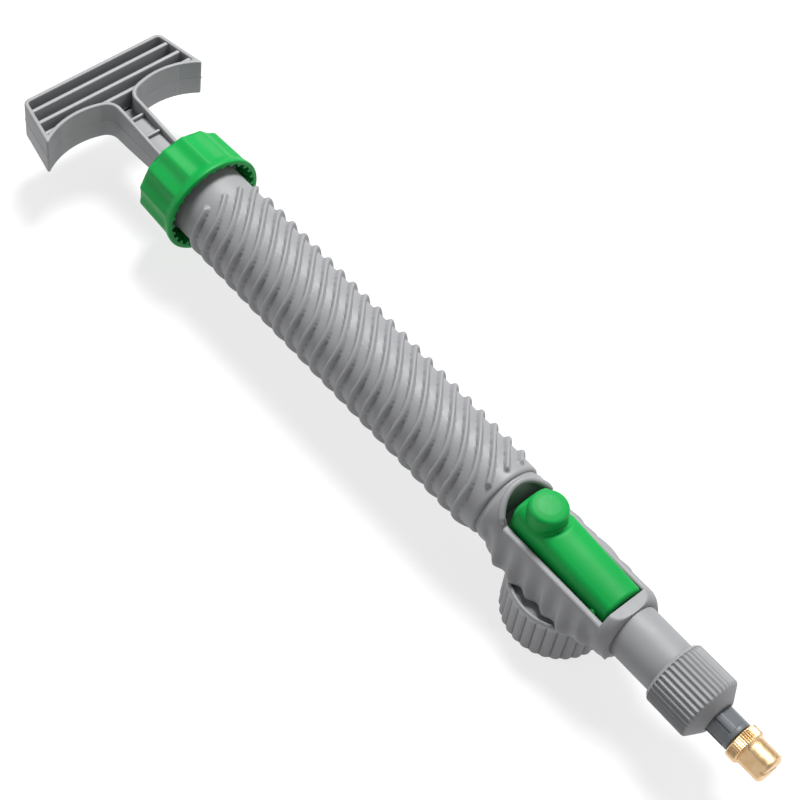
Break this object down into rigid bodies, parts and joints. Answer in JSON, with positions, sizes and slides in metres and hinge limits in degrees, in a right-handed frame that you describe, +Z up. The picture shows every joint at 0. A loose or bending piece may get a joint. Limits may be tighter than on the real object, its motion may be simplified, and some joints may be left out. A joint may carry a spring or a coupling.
{
  "type": "bottle-top spray wand",
  "caption": "Hand-pumped spray wand that screws onto a drinks bottle: T-handle pump, ribbed barrel, green thumb lever, ribbed bottle ring and turning brass tip.",
  "frame": {"origin": "centre of the bottle ring's open rim, on the bottle's axis", "axes": "+Z up along the bottle's axis, +X along the barrel towards the nozzle"},
  "size_m": [0.3049, 0.0612, 0.0409],
  "materials": {
    "grey_plastic": "satin moulded plastic",
    "green_plastic": "semi-gloss moulded plastic",
    "dark_stem": "semi-gloss dark plastic",
    "brass": "turned brass",
    "seal_rubber": "black rubber",
    "spring_steel": "spring wire"
  },
  "bodies": {
    "barrel": {"barrel_housing": "grey_plastic", "barrel_cap": "green_plastic", "neck_insert": "grey_plastic", "bottle_gasket": "seal_rubber", "valve_spring": "spring_steel", "gland_ring": "seal_rubber", "plunger_gland": "grey_plastic", "outlet_tube": "grey_plastic", "plug_ring": "seal_rubber", "nozzle_nut": "grey_plastic", "nozzle_washer": "seal_rubber", "nozzle_stem": "dark_stem", "swirl_core": "brass"},
    "piston_seal": {"piston_ring": "seal_rubber"},
    "handle": {"pump_handle": "grey_plastic"},
    "lever": {"lever": "green_plastic"},
    "plunger": {"valve_plunger": "dark_stem", "valve_seal": "seal_rubber"},
    "air_check": {"air_check_disc": "seal_rubber"},
    "bottle_ring": {"bottle_ring": "grey_plastic"},
    "nozzle_seal": {"tip_seal": "seal_rubber"},
    "nozzle_tip": {"nozzle_tip": "brass"}
  },
  "joints": [
    {"name": "pump_slide", "type": "slide", "parent": "barrel", "child": "piston_seal", "axis": [-1, 0, 0], "range_m": [0, 0.137]},
    {"name": "handle_turn", "type": "hinge", "parent": "piston_seal", "child": "handle", "pos_m": [-0.0355, 0, 0.0236], "axis": [1, 0, 0], "continuous": true},
    {"name": "lever_press", "type": "hinge", "parent": "barrel", "child": "lever", "pos_m": [0.0155, 0, 0.0281], "axis": [0, -1, 0], "range_deg": [0, 6], "stiffness_Nm_per_rad": 0.36, "springref_deg": -11.46},
    {"name": "plunger_travel", "type": "slide", "parent": "barrel", "child": "plunger", "axis": [0, 0, -1], "range_m": [0, 0.00175], "deforming": ["valve_spring"]},
    {"name": "air_check_lift", "type": "slide", "parent": "barrel", "child": "air_check", "axis": [0, 0, 1], "range_m": [0, 0.00135]},
    {"name": "ring_turn", "type": "hinge", "parent": "barrel", "child": "bottle_ring", "pos_m": [0, 0, 0], "axis": [0, 0, 1], "continuous": true},
    {"name": "tip_advance", "type": "slide", "parent": "barrel", "child": "nozzle_seal", "axis": [1, 0, 0], "range_m": [0, 0.0021]},
    {"name": "tip_turn", "type": "hinge", "parent": "nozzle_seal", "child": "nozzle_tip", "pos_m": [0.0664, 0, 0.0236], "axis": [1, 0, 0], "range_deg": [0, 720]}
  ],
  "couplings": [
    {"joint": "plunger_travel", "follows": "lever_press", "m_per_rad": 0.0155},
    {"joint": "tip_advance", "follows": "tip_turn", "m_per_rad": 0.00015915}
  ]
}
